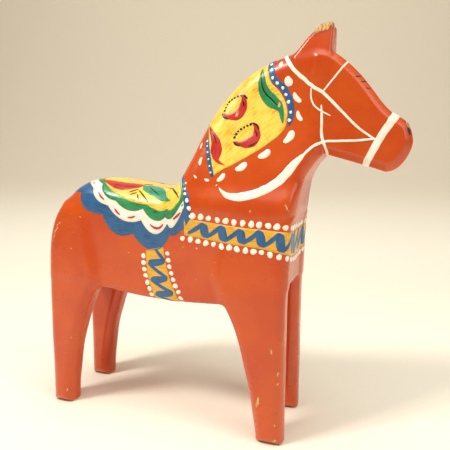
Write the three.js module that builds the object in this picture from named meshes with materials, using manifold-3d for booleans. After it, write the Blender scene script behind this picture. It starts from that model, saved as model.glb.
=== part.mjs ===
// A dala horse of painted pine, standing on four straight legs, nose towards +X.
// The blank is glued up from three boards: a core as thick as the gap between the legs,
// which carries the head, neck and middle of the trunk, and a leg board on each side.
// Every board is two staves with the grain upright, so the piece has six staves.
// +Z is up, +Y is the horse's left side, and the origin is on the floor, midway along
// and across the whole horse. Lengths are in millimetres.
import * as THREE from 'three';
import { mergeVertices } from 'three/addons/utils/BufferGeometryUtils.js';
import Module from 'manifold-3d';

// Overall sizes
const height = 300;
const length = 284;
const width = 76;

// Boards
const coreThickness = 34;
const coreJointFromTail = 0.3;
const sideJointFromTail = 0.42;

// Trunk
const backHeight = 193;
const saddleDip = 7;
const bellyHeight = 100;
const archRise = 16;
const trunkInset = 2;
const backRound = 17;
const bellyRound = 6;
const rumpLean = 6;
const rumpRound = 8;
const chestRound = 5;

// Legs and feet
const foreFootLength = 21;
const hindFootLength = 20;
const footRound = 6;
const legEdgeRound = 4;
const shoulderLength = 52;
const haunchLength = 52;
const legLean = 5;

// Neck, head and ears
const chestFromNose = 80;
const withersFromNose = 168;
const neckTopWidth = 33;
const crestRound = 13;
const throatRound = 4;
const headLength = 76;
const headDepth = 86;
const jawDepth = 74;
const headWidth = 33;
const muzzleWidth = 28;
const headChamfer = 4.5;
const earLength = 20;
const earWidth = 28;
const earNotchWidth = 9;
const earNotchDepth = 15;
const earsAbovePoll = 15;

// Places along the length that the outlines share
const tail = -length / 2;
const nose = length / 2;
const chest = nose - chestFromNose;
const withers = nose - withersFromNose;
const core = coreThickness / 2;
const side = width / 2;
const trunkSide = side - trunkInset;
const foreToe = chest;
const hindToe = tail + hindFootLength;
const saddleHeight = backHeight - saddleDip;
const poll = nose - headLength;
const pollHeight = height - earsAbovePoll;
const muzzleHeight = pollHeight - headDepth;
const jawHeight = pollHeight - jawDepth;

const curveSteps = 3;

// A point that lies a share of the way from start to end, pushed off to the left of
// that line by the given distance.
function between(start, end, share, push) {
  const run = end.clone().sub(start);
  const left = new THREE.Vector2(-run.y, run.x).normalize();
  return start.clone().addScaledVector(run, share).addScaledVector(left, push);
}

function at(along, up) {
  return new THREE.Vector2(along, up);
}

// The trunk from the side: rump, back, saddle, withers, chest and belly.
function trunkOutline() {
  const underRump = at(tail + 0.8 * rumpLean, bellyHeight + archRise);
  const rump = at(tail + rumpLean, (bellyHeight + backHeight) / 2 - 8);
  const croup = at(tail + 0.15 * length, backHeight);
  const saddle = at(withers - 25, saddleHeight);
  const neckFoot = at(withers, saddleHeight);
  const chestTop = at(chest + 4.5, backHeight - 8);
  const chestFoot = at(chest, bellyHeight + archRise);
  const outline = new THREE.Shape();
  outline.moveTo(underRump.x, underRump.y);
  outline.splineThru([
    rump,
    between(rump, croup, 0.3, 7),
    between(rump, croup, 0.62, 10),
    between(rump, croup, 0.85, 6.5),
    croup,
    between(croup, saddle, 0.5, 0.5),
    saddle,
    neckFoot,
  ]);
  outline.lineTo(chestTop.x, chestTop.y);
  outline.splineThru([between(chestTop, chestFoot, 0.4, -1.2), chestFoot]);
  outline.splineThru([
    at(chest - 0.5 * shoulderLength, bellyHeight + 5),
    at(chest - shoulderLength, bellyHeight + 2),
    at((chest + tail) / 2 + 6, bellyHeight),
    at(tail + haunchLength, bellyHeight + 5),
    at(tail + 0.5 * haunchLength, bellyHeight + 9),
  ]);
  outline.closePath();
  return outline;
}

// The trunk from the front: a crowned back, nearly flat sides and an eased belly.
function trunkSection() {
  const section = new THREE.Shape();
  section.moveTo(-trunkSide, bellyHeight + bellyRound);
  section.lineTo(-trunkSide, backHeight - 1.6 * backRound);
  section.bezierCurveTo(
    -trunkSide, backHeight - 0.5 * backRound,
    -trunkSide + 0.5 * backRound, backHeight,
    0, backHeight,
  );
  section.bezierCurveTo(
    trunkSide - 0.5 * backRound, backHeight,
    trunkSide, backHeight - 0.5 * backRound,
    trunkSide, backHeight - 1.6 * backRound,
  );
  section.lineTo(trunkSide, bellyHeight + bellyRound);
  section.lineTo(trunkSide - bellyRound, bellyHeight);
  section.lineTo(-trunkSide + bellyRound, bellyHeight);
  section.closePath();
  return section;
}

// The whole horse from above: a rounded rump and eased chest corners.
function bodyPlan() {
  const plan = new THREE.Shape();
  plan.moveTo(tail, side - rumpRound);
  plan.absarc(tail + rumpRound, rumpRound - side, rumpRound, Math.PI, 1.5 * Math.PI, false);
  plan.lineTo(chest + 4 - chestRound, -side);
  plan.absarc(chest + 4 - chestRound, chestRound - side, chestRound, -0.5 * Math.PI, 0, false);
  plan.absarc(chest + 4 - chestRound, side - chestRound, chestRound, 0, 0.5 * Math.PI, false);
  plan.absarc(tail + rumpRound, side - rumpRound, rumpRound, 0.5 * Math.PI, Math.PI, false);
  return plan;
}

// A fore leg from the side: straight in front, curving back into the shoulder behind.
function foreLegOutline() {
  const toe = at(foreToe, 0);
  const heel = at(foreToe - foreFootLength, 0);
  const elbow = at(chest - shoulderLength + 7, bellyHeight + 3);
  const shoulderTop = backHeight - 0.3 * (backHeight - bellyHeight);
  const leg = new THREE.Shape();
  leg.moveTo(heel.x, footRound);
  leg.splineThru([between(heel, elbow, 0.35, -3.5), between(heel, elbow, 0.72, -4), elbow]);
  leg.lineTo(chest - 0.8 * shoulderLength, shoulderTop);
  leg.lineTo(chest + 1, shoulderTop);
  leg.splineThru([at(chest + 0.5, bellyHeight), at(toe.x, footRound)]);
  leg.absarc(toe.x - footRound, footRound, footRound, 0, -0.5 * Math.PI, true);
  leg.absarc(heel.x + footRound, footRound, footRound, -0.5 * Math.PI, -Math.PI, true);
  return leg;
}

// A hind leg from the side: nearly straight behind, curving forward into the haunch.
function hindLegOutline() {
  const toe = at(hindToe, 0);
  const heel = at(tail, 0);
  const stifle = at(tail + haunchLength - 7, bellyHeight + 5);
  const haunchTop = backHeight - 0.25 * (backHeight - bellyHeight);
  const leg = new THREE.Shape();
  leg.moveTo(heel.x, footRound);
  leg.splineThru([
    at(tail + 0.3 * rumpLean, 0.6 * bellyHeight),
    at(tail + 0.8 * rumpLean, bellyHeight + 20),
    at(tail + rumpLean + 4, backHeight - 0.4 * (backHeight - bellyHeight)),
  ]);
  leg.lineTo(tail + 0.4 * haunchLength, haunchTop);
  leg.lineTo(tail + 0.75 * haunchLength, haunchTop);
  leg.lineTo(stifle.x, stifle.y);
  leg.splineThru([between(stifle, toe, 0.28, -4), between(stifle, toe, 0.65, -3.5), at(toe.x, footRound)]);
  leg.absarc(toe.x - footRound, footRound, footRound, 0, -0.5 * Math.PI, true);
  leg.absarc(heel.x + footRound, footRound, footRound, -0.5 * Math.PI, -Math.PI, true);
  return leg;
}

// The outer board from the front, on the +Y side: upright to the belly, then leaning
// inwards so that the shoulder and haunch run out into the side of the trunk.
function legSection() {
  const section = new THREE.Shape();
  section.moveTo(core, 0);
  section.lineTo(side, 0);
  section.lineTo(side, bellyHeight + 0.25 * (backHeight - bellyHeight));
  section.lineTo(side - legLean, backHeight);
  section.lineTo(core, backHeight);
  section.closePath();
  return section;
}

// The neck from the side, from inside the trunk up to the poll. A reach carries the
// crest on past the poll and the throat further forward by that much.
function neckOutline(reach) {
  const neckFoot = at(withers, saddleHeight);
  const pollPoint = at(poll, pollHeight - 1);
  const throat = at(chest + 18 + reach, jawHeight + 1);
  const chestTop = at(chest + 2 + reach, backHeight - 30);
  const neckBottom = chestTop.y - 1.3 * crestRound;
  const neck = new THREE.Shape();
  neck.moveTo(neckFoot.x + 4, neckBottom);
  neck.lineTo(neckFoot.x, neckFoot.y);
  neck.splineThru([
    between(neckFoot, pollPoint, 0.2, 9.5),
    between(neckFoot, pollPoint, 0.42, 17.5),
    between(neckFoot, pollPoint, 0.64, 19),
    between(neckFoot, pollPoint, 0.84, 12.5),
    pollPoint,
  ]);
  neck.lineTo(pollPoint.x + 14 + reach, pollPoint.y - 2 + 0.4 * reach);
  neck.lineTo(pollPoint.x + 17 + 1.5 * reach, pollPoint.y - 14);
  neck.lineTo(throat.x, throat.y);
  neck.splineThru([
    between(throat, chestTop, 0.3, -3.2),
    between(throat, chestTop, 0.62, -3.2),
    chestTop,
  ]);
  neck.lineTo(chestTop.x - 1, neckBottom);
  neck.closePath();
  return neck;
}

// Half the width of the neck at a height: nearly the trunk's width at the withers,
// narrowing in a hollow curve to the head.
function neckHalfWidth(up) {
  const share = THREE.MathUtils.clamp((up - saddleHeight + 8) / (pollHeight - saddleHeight - 12), 0, 1);
  return neckTopWidth / 2 + (trunkSide - 1 - neckTopWidth / 2) * (1 - share) ** 2;
}

// The head from the side: poll, forehead, bridge of the nose, muzzle, chin and jaw.
function headOutline() {
  const brow = at(poll + 27, pollHeight - 8.5);
  const bridge = at(poll + 53, muzzleHeight + 0.57 * (pollHeight - muzzleHeight));
  const nostril = at(nose - 2.5, muzzleHeight + 0.35 * (pollHeight - muzzleHeight));
  const chin = at(nose - 15, muzzleHeight);
  const jaw = at(chest + 23, jawHeight);
  const head = new THREE.Shape();
  head.moveTo(poll, pollHeight - 24);
  head.lineTo(poll + 2, pollHeight - 2);
  head.lineTo(poll + 14, pollHeight - 3);
  head.splineThru([brow, between(brow, bridge, 0.5, 2.5), bridge, between(bridge, nostril, 0.5, -1.5), nostril]);
  head.splineThru([
    at(nose, muzzleHeight + 0.23 * (pollHeight - muzzleHeight)),
    at(nose - 4.5, muzzleHeight + 9),
    chin,
  ]);
  head.lineTo(jaw.x, jaw.y);
  head.lineTo(jaw.x - 12, jaw.y + 6);
  head.closePath();
  return head;
}

// Half the width of the head, which narrows slightly towards the muzzle.
function headHalfWidth(along) {
  const share = THREE.MathUtils.clamp((along - poll) / headLength, 0, 1);
  return THREE.MathUtils.lerp(headWidth, muzzleWidth, share) / 2;
}

// The ears from the side: a sloping back edge up to an upright front edge.
function earOutline() {
  const back = at(poll - 2, height - earLength);
  const tip = at(poll + 20.5, height);
  const front = at(poll + 20, height - earLength - 6);
  const ear = new THREE.Shape();
  ear.moveTo(back.x - 3, back.y);
  ear.splineThru([between(back, tip, 0.35, 0.5), between(back, tip, 0.75, 1.5), tip]);
  ear.lineTo(front.x, front.y);
  ear.lineTo(back.x + 2, front.y);
  ear.closePath();
  return ear;
}

// The V that parts the two ears, seen from the front.
function earNotch() {
  const notch = new THREE.Shape();
  notch.moveTo(0, height - earNotchDepth);
  notch.lineTo(earNotchWidth, height + earNotchDepth);
  notch.lineTo(-earNotchWidth, height + earNotchDepth);
  notch.closePath();
  return notch;
}

const wasm = await Module();
wasm.setup();

function toSolid(geometry) {
  geometry.deleteAttribute('normal');
  geometry.deleteAttribute('uv');
  const merged = mergeVertices(geometry, 1e-3);
  return new wasm.Manifold(new wasm.Mesh({
    numProp: 3,
    vertProperties: new Float32Array(merged.attributes.position.array),
    triVerts: new Uint32Array(merged.index.array),
  }));
}

function toGeometry(solid) {
  const mesh = solid.getMesh();
  const geometry = new THREE.BufferGeometry();
  geometry.setAttribute('position', new THREE.BufferAttribute(new Float32Array(mesh.vertProperties), 3));
  geometry.setIndex(new THREE.BufferAttribute(new Uint32Array(mesh.triVerts), 1));
  return geometry;
}

// An outline drawn from the side (along, up), given thickness across the horse. The
// rim is eased by the given rounding, in as many steps.
function acrossHorse(outline, from, to, rounding, steps) {
  const geometry = new THREE.ExtrudeGeometry(outline, {
    depth: to - from - 2 * rounding,
    curveSegments: curveSteps,
    bevelEnabled: rounding > 0,
    bevelThickness: rounding,
    bevelSize: rounding,
    bevelOffset: -rounding,
    bevelSegments: steps,
  });
  geometry.rotateX(Math.PI / 2);
  return geometry.translate(0, to - rounding, 0);
}

// An outline drawn from the front (across, up), given length along the horse.
function alongHorse(outline, from, to) {
  const geometry = new THREE.ExtrudeGeometry(outline, {
    depth: to - from,
    curveSegments: 4 * curveSteps,
    bevelEnabled: false,
  });
  const turn = new THREE.Matrix4().makeBasis(
    new THREE.Vector3(0, 1, 0),
    new THREE.Vector3(0, 0, 1),
    new THREE.Vector3(1, 0, 0),
  );
  return geometry.applyMatrix4(turn).translate(from, 0, 0);
}

// A solid that is one unit wide each side of the middle, spread to the half width that
// the given rule asks for at each point.
function spread(geometry, halfWidthAt) {
  const position = geometry.attributes.position;
  for (let i = 0; i < position.count; i += 1) {
    position.setY(i, position.getY(i) * halfWidthAt(position.getX(i), position.getZ(i)));
  }
  return geometry;
}

function block(fromX, toX, fromY, toY) {
  const geometry = new THREE.BoxGeometry(toX - fromX, toY - fromY, 2 * height);
  return toSolid(geometry.translate((fromX + toX) / 2, (fromY + toY) / 2, height / 2));
}

function makeTrunk() {
  const fromSide = toSolid(acrossHorse(trunkOutline(), -side, side, 0, 1));
  const fromFront = toSolid(alongHorse(trunkSection(), tail - 1, nose));
  return fromSide.intersect(fromFront);
}

// A neck drawn one unit wide each side, its rim eased by the rounding, then spread.
function easedNeck(outline, rounding, share) {
  const geometry = new THREE.ExtrudeGeometry(outline, {
    depth: 2 - 2 * share,
    curveSegments: curveSteps,
    bevelThickness: share,
    bevelSize: rounding,
    bevelOffset: -rounding,
    bevelSegments: 4,
  });
  geometry.rotateX(Math.PI / 2).translate(0, 1 - share, 0);
  return toSolid(spread(geometry, (along, up) => neckHalfWidth(up)));
}

// The crest is rounded over well, and the throat is only eased.
function makeNeck() {
  const roundCrest = easedNeck(neckOutline(2 * crestRound), crestRound, 0.75);
  return easedNeck(neckOutline(0), throatRound, 0.2).intersect(roundCrest);
}

function makeHead() {
  const geometry = acrossHorse(headOutline(), -headWidth / 2, headWidth / 2, headChamfer, 1);
  return toSolid(spread(geometry, (along) => 2 * headHalfWidth(along) / headWidth));
}

function makeEars() {
  const ears = toSolid(acrossHorse(earOutline(), -earWidth / 2, earWidth / 2, 0, 1));
  return ears.subtract(toSolid(alongHorse(earNotch(), poll - 30, nose)));
}

function makeLeg(outline) {
  const leg = toSolid(acrossHorse(outline, core, side, legEdgeRound, 2));
  return leg.intersect(toSolid(alongHorse(legSection(), tail - 1, nose)));
}

const plan = new THREE.ExtrudeGeometry(bodyPlan(), {
  depth: backHeight + 1,
  curveSegments: curveSteps,
  bevelEnabled: false,
});
const planSolid = toSolid(plan.translate(0, 0, -0.5));
const trunk = makeTrunk().intersect(planSolid);
const middle = trunk.add(makeNeck()).add(makeHead()).add(makeEars());
const foreLeg = makeLeg(foreLegOutline()).intersect(planSolid);
const hindLeg = makeLeg(hindLegOutline()).intersect(planSolid);
const coreJoint = tail + coreJointFromTail * length;
const sideJoint = tail + sideJointFromTail * length;

const horse = new THREE.Group();

function addStave(name, solid, colour) {
  const material = new THREE.MeshStandardMaterial({ color: colour, roughness: 0.32, metalness: 0 });
  const mesh = new THREE.Mesh(toGeometry(solid), material);
  mesh.name = name;
  horse.add(mesh);
}

const enamel = 0xd9501f;
const shade = 0xc9481c;

// Core board: the head, neck and chest stave, and the croup stave behind it.
addStave('core_head_neck', middle.intersect(block(coreJoint, nose + 1, -core, core)), enamel);
addStave('core_croup', middle.intersect(block(tail - 1, coreJoint, -core, core)), shade);

// Side boards: each is a fore stave with the shoulder and fore leg, and a hind stave
// with the haunch and hind leg. The right side mirrors the left.
const foreStave = middle.add(foreLeg).intersect(block(sideJoint, nose + 1, core, side + 1));
const hindStave = middle.add(hindLeg).intersect(block(tail - 1, sideJoint, core, side + 1));
addStave('left_fore_leg_stave', foreStave, shade);
addStave('left_hind_leg_stave', hindStave, enamel);
addStave('right_fore_leg_stave', foreStave.mirror([0, 1, 0]), shade);
addStave('right_hind_leg_stave', hindStave.mirror([0, 1, 0]), enamel);

export default horse;
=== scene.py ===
# A dala horse: six pine staves glued into one block, carved, sanded, painted all over
# in orange-red enamel and then decorated by brush. Lengths are in millimetres, in the
# frame's own axes, until a mesh is made. The studio at the end is in metres.
import math

import bmesh
import bpy
import numpy as np
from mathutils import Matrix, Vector
from mathutils.geometry import delaunay_2d_cdt


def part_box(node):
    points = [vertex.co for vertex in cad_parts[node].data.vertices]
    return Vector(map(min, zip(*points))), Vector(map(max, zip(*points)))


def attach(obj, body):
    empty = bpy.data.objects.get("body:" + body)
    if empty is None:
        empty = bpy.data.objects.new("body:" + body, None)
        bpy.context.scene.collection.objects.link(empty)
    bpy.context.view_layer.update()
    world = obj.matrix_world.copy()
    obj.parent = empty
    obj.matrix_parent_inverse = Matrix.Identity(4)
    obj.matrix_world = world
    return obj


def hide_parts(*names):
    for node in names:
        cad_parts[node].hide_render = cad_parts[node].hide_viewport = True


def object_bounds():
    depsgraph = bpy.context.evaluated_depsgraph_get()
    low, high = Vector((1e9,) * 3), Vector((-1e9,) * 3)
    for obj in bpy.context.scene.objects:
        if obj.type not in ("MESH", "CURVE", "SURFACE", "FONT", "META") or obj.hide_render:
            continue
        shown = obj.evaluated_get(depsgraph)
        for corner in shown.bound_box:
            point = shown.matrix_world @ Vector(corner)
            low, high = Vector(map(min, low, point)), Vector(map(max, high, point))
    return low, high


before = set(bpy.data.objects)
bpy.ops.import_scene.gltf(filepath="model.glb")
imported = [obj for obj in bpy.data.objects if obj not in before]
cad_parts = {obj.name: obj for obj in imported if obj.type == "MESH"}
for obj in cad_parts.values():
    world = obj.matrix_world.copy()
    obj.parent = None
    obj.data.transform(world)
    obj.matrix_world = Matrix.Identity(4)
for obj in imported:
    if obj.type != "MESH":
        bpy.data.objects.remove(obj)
cad_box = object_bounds()

# ---------------------------------------------------------------------------------
# Carved staves. The horse is sawn and knifed from one glued-up pine block: a core
# board for head, neck and middle, and a board on each side for the legs. Each board
# is two upright staves, and the joints vanish under the enamel.
# ---------------------------------------------------------------------------------
NODES = ("core_head_neck", "core_croup", "left_fore_leg_stave", "left_hind_leg_stave",
         "right_fore_leg_stave", "right_hind_leg_stave")
LOW, HIGH = (np.array(corner) * 1000 for corner in cad_box)
TAIL, NOSE, HEIGHT = LOW[0], HIGH[0], HIGH[2]
HALF_WIDTH = HIGH[1]
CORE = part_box("core_head_neck")[1][1] * 1000
CORE_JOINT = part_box("core_head_neck")[0][0] * 1000
SIDE_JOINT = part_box("left_fore_leg_stave")[0][0] * 1000
FORE_TOE = NOSE - 80
HIND_TOE = TAIL + 20
CARVING_PITCH = 1.25
NECK_FOOT, POLL = 158, 262
NECK_THIN, NECK_FLARE = 16.5, 18
HEAD_HALF, NOSE_TAPER = 16.7, 2.9
EAR_HALF = 15.9
LEG_LEAN, LEG_PROUD = 4.5, 1.8


def walked(line):
    """How far each point is along a line of points."""
    return np.concatenate([[0], np.cumsum(np.linalg.norm(np.diff(line, axis=0), axis=1))])


def spread_along(points, step):
    """Evenly spaced points on the smooth curve through a few points."""
    p = np.array(points, float)
    ends = np.vstack([2 * p[0] - p[1], p, 2 * p[-1] - p[-2]])
    share = np.linspace(0, 1, 17)[:-1, None]
    runs = []
    for a, b, c, d in zip(ends, ends[1:], ends[2:], ends[3:]):
        near = np.linalg.norm(c - b)
        m1 = (c - a) * near / (np.linalg.norm(b - a) + near)
        m2 = (d - b) * near / (np.linalg.norm(d - c) + near)
        runs.append((2 * share**3 - 3 * share**2 + 1) * b + (share**3 - 2 * share**2 + share) * m1
                    + (-2 * share**3 + 3 * share**2) * c + (share**3 - share**2) * m2)
    fine = np.vstack(runs + [p[-1:]])
    along = walked(fine)
    wanted = np.linspace(0, along[-1], max(2, int(round(along[-1] / step)) + 1))
    return np.stack([np.interp(wanted, along, fine[:, k]) for k in range(p.shape[1])], 1)


def outline(*runs):
    """A closed side outline from smooth runs that meet at corners."""
    return np.vstack([spread_along(run, 2.0)[:-1] for run in runs])


# Side outlines, each a few runs between the corners the knife left.
TRUNK = outline(
    [(TAIL + 5, 112), (TAIL + 3.5, 136), (TAIL + 6, 155), (TAIL + 13, 173), (TAIL + 22.5, 185.5),
     (TAIL + 37, 192.5), (-90, 193.5), (-72, 191), (-50, 188), (-30, 187), (-14, 190)],
    [(-14, 190), (66, 190)],
    [(66, 190), (65, 171), (63, 150), (62, 117)],
    [(62, 117), (48, 108), (30, 103), (5, 100.5), (-27, 100), (-60, 101.5), (-90, 106), (TAIL + 26, 109),
     (TAIL + 5, 112)],
)
NECK = outline(
    [(-50, 118), (-42, 152), (-34, 174), (-27, 187), (-21.5, 198), (-14, 212.5), (-7, 227), (0.5, 240),
     (9, 251.5), (19.5, 262), (31, 270.5), (43, 276.5), (55, 280.5), (66, 283.5), (80, 284)],
    [(80, 284), (84, 262), (84, 225), (82, 210)],
    [(82, 210), (77.5, 205), (72, 196), (68.5, 185), (66, 172), (64.5, 160), (62.8, 140), (60, 118)],
    [(60, 118), (-50, 118)],
)
HEAD = outline(
    [(70, 258), (73, 281.5)],
    [(73, 281.5), (80, 282.8), (89, 279.5), (98, 272.5), (106, 264.5), (114, 254.5), (121, 245),
     (127.5, 238.5), (134, 234.5), (138.2, 231)],
    [(138.2, 231), (140, 225.5), (141, 218.5), (138.5, 210.5), (134, 203.8), (129.5, 200.5), (125, 199.3)],
    [(125, 199.3), (112, 203.5), (98, 207.5), (88, 210.5), (80, 213)],
    [(80, 213), (74, 228), (70, 258)],
)
EAR = outline(
    [(60, 278.5), (64, 283), (69, 289.5), (74.5, 295.3), (78.5, 299), (81, 300.4)],
    [(81, 300.4), (87.3, 300.4)],
    [(87.3, 300.4), (87, 289), (86, 264)],
    [(86, 264), (64, 262), (60, 278.5)],
)
FORE_LEG = outline(
    [(41, -0.5), (41, 4), (38.5, 20), (36, 36), (32, 56), (28, 73), (22, 90), (14, 106), (8, 122),
     (16, 150), (24, 166)],
    [(24, 166), (66, 166)],
    [(66, 166), (64, 140), (62.5, 110), (62, 60), (FORE_TOE, -0.5)],
    [(FORE_TOE, -0.5), (41, -0.5)],
)
HIND_LEG = outline(
    [(TAIL, -0.5), (TAIL + 0.5, 30), (TAIL + 1.5, 75), (TAIL + 2.5, 111), (TAIL + 4.5, 136),
     (TAIL + 9, 158), (TAIL + 18, 172)],
    [(TAIL + 18, 172), (-104, 166), (-96, 140), (-92, 110), (-98, 99), (-105, 84), (-111, 67), (-116, 50),
     (-119.5, 27), (-121.5, 10), (HIND_TOE, -0.5)],
    [(HIND_TOE, -0.5), (TAIL, -0.5)],
)
CROWN = outline(
    [(-175, 60), (-170, 110), (TAIL - 4, 149), (TAIL + 8, 171), (TAIL + 22.5, 185.5), (TAIL + 37, 192.5),
     (-90, 193.5), (-72, 191), (-50, 188), (-30, 187), (-14, 190), (20, 190), (90, 190)],
    [(90, 190), (90, 60)],
    [(90, 60), (-175, 60)],
)
GRID_X = np.arange(TAIL - 8, NOSE + 9, CARVING_PITCH)
GRID_Z = np.arange(-7.4, HEIGHT + 8, CARVING_PITCH)


def distance_map(shape):
    """Distance from an outline over the whole side view, negative inside it."""
    x, z = (a.ravel() for a in np.meshgrid(GRID_X, GRID_Z, indexing="ij"))
    start, end = shape, np.roll(shape, -1, axis=0)
    nearest = np.full(x.shape, 1e9)
    inside = np.zeros(x.shape, bool)
    for (ax, az), (bx, bz) in zip(start, end):
        run = np.array([bx - ax, bz - az])
        share = np.clip(((x - ax) * run[0] + (z - az) * run[1]) / (run @ run), 0, 1)
        nearest = np.minimum(nearest, (x - ax - share * run[0]) ** 2 + (z - az - share * run[1]) ** 2)
        crosses = (az > z) != (bz > z)
        reach = ax + (z - az) * run[0] / (run[1] if run[1] else 1)
        inside ^= crosses & (x < reach)
    return (np.sqrt(nearest) * np.where(inside, -1, 1)).reshape(len(GRID_X), len(GRID_Z))


SHAPES = (TRUNK, CROWN, NECK, HEAD, EAR, FORE_LEG, HIND_LEG)
SIDE_MAPS = np.stack([distance_map(shape) for shape in SHAPES], -1)


def read_maps(x, z):
    """The side maps at any points, smoothed over a grid step so that edges stay eased."""
    gx = (x - GRID_X[0]) / CARVING_PITCH
    gz = (z - GRID_Z[0]) / CARVING_PITCH
    ix = np.clip(np.round(gx).astype(int), 1, len(GRID_X) - 2)
    iz = np.clip(np.round(gz).astype(int), 1, len(GRID_Z) - 2)
    fx, fz = np.clip(gx - ix, -0.5, 0.5), np.clip(gz - iz, -0.5, 0.5)
    weights = [(0.5 * (0.5 - f) ** 2, 0.75 - f * f, 0.5 * (0.5 + f) ** 2) for f in (fx, fz)]
    total = 0
    for i, wx in zip((-1, 0, 1), weights[0]):
        for k, wz in zip((-1, 0, 1), weights[1]):
            total = total + (wx * wz)[..., None] * SIDE_MAPS[ix + i, iz + k]
    return total


def ramp(value, start, end):
    """0 at the start, easing up to 1 at the end."""
    share = np.clip((value - start) / (end - start), 0, 1)
    return share * share * (3 - 2 * share)


def eased(side, across, round_side, round_across, fullness):
    """A board's solid with its arris rounded: fullness 1 is a flat chamfer, 2 is round."""
    u, v = (side + round_side) / round_side, (across + round_across) / round_across
    corner = (np.maximum(u, 0) ** fullness + np.maximum(v, 0) ** fullness) ** (1 / fullness)
    return (corner - 1 + np.minimum(np.maximum(u, v), 0)) * np.minimum(round_side, round_across)


def joined(a, b, fillet):
    """Two shapes run into each other with a hollow fillet between them."""
    near = np.maximum(fillet - np.abs(a - b), 0) / fillet
    return np.minimum(a, b) - near * near * fillet / 4


def carve(maps, x, y, z):
    """Height over the carved skin in mm, negative inside the wood. Each part of the horse
    is a board of its side outline, eased at the edges and run into the others."""
    trunk, crown, neck, head, ear, fore, hind = np.moveaxis(maps, -1, 0)
    y = np.abs(y)
    trunk_side = HALF_WIDTH - 2 - 0.6 * ramp(z, 150, 100)
    above = ramp(z, 116, 134)
    trunk_arris = 4.6 + 3 * above
    body = eased(trunk, y - trunk_side, trunk_arris, trunk_arris, 1.3 + 0.6 * above)
    body = -joined(-body, -eased(crown, y - trunk_side, 26, 34, 2.5), 4)
    # The neck thins in a hollow curve towards the head, round at the crest, flat in front.
    rise = np.clip((z + 0.35 * (x - 25) - NECK_FOOT) / (POLL - NECK_FOOT), 0, 1)
    neck_side = NECK_THIN + NECK_FLARE * (1 - rise) ** 2 * (1 + 2 * rise)
    crest = ramp(0.73 * (z - 205) - 0.684 * (x - 45), -14, 8)
    nape = eased(neck, y - neck_side, 8 + 6 * crest, 9 + (0.72 * neck_side - 9) * crest, 1.8 + 0.3 * crest)
    nape = nape + 9 * (1 - ramp(z, 138, 176))
    # The head is a flat board with its arrises knifed off at about 45 degrees.
    head_side = HEAD_HALF - NOSE_TAPER * np.clip((x - 80) / 60, 0, 1)
    skull = eased(head, y - head_side, 5.2, 5.2, 1.12)
    ears = eased(ear, y - EAR_HALF + 0.2 * np.maximum(z - 276, 0), 2, 2, 1.4)
    # Legs stand a little proud of the trunk, less so higher up, and lean in towards the back.
    leg_out = HALF_WIDTH - LEG_LEAN * ramp(z, 98, 168)
    leg_across = np.maximum(y - leg_out, CORE + 0.45 - y)
    leg_round = 7.3 + 1.5 * ramp(z, 70, 10)
    proud = body - LEG_PROUD * ramp(z, 166, 128) - 200 * (1 - above)
    fore_leg = np.maximum(eased(fore, leg_across, leg_round, leg_round, 1.9), proud)
    hind_leg = np.maximum(eased(hind, leg_across, leg_round, leg_round, 1.9), proud)
    solid = joined(body, nape, 6.5)
    solid = joined(solid, skull, 2)
    solid = joined(solid, ears, 2.5)
    solid = joined(solid, fore_leg, 4.5)
    solid = joined(solid, hind_leg, 8)
    notch = (0.28 * (z - 289) - y) * 0.95
    solid = -joined(-solid, -notch, 1.0)
    tool_marks = (np.sin(x / 9.1 + 1.3 * np.sin(z / 23)) * np.sin(z / 11.7 + y / 19)
                  + 0.8 * np.sin(x / 21 + z / 17 + 2) * np.sin(y / 13 + z / 31))
    return solid + 0.11 * tool_marks


def wood(p):
    """Height over the carved skin at a list of places."""
    return carve(read_maps(p[:, 0], p[:, 2]), p[:, 0], p[:, 1], p[:, 2])


def slope(p, reach=0.8):
    """How that height grows along each axis, so it points out of the wood."""
    steps = np.eye(3) * reach
    return np.stack([(wood(p + s) - wood(p - s)) / (2 * reach) for s in steps], 1)


def settle(p, lift=0.0, rounds=5):
    """Points moved to the nearest skin, then lifted off it, with the skin's normals."""
    p = np.array(p, float)
    for _ in range(rounds):
        gradient = slope(p)
        size = np.maximum((gradient**2).sum(1), 0.04)
        step = -(wood(p) / size)[:, None] * gradient
        long = np.linalg.norm(step, axis=1, keepdims=True)
        p += step * np.minimum(1, 6 / np.maximum(long, 1e-9))
    normal = slope(p)
    normal /= np.linalg.norm(normal, axis=1, keepdims=True)
    return p + normal * np.reshape(lift, (-1, 1)), normal


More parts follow.
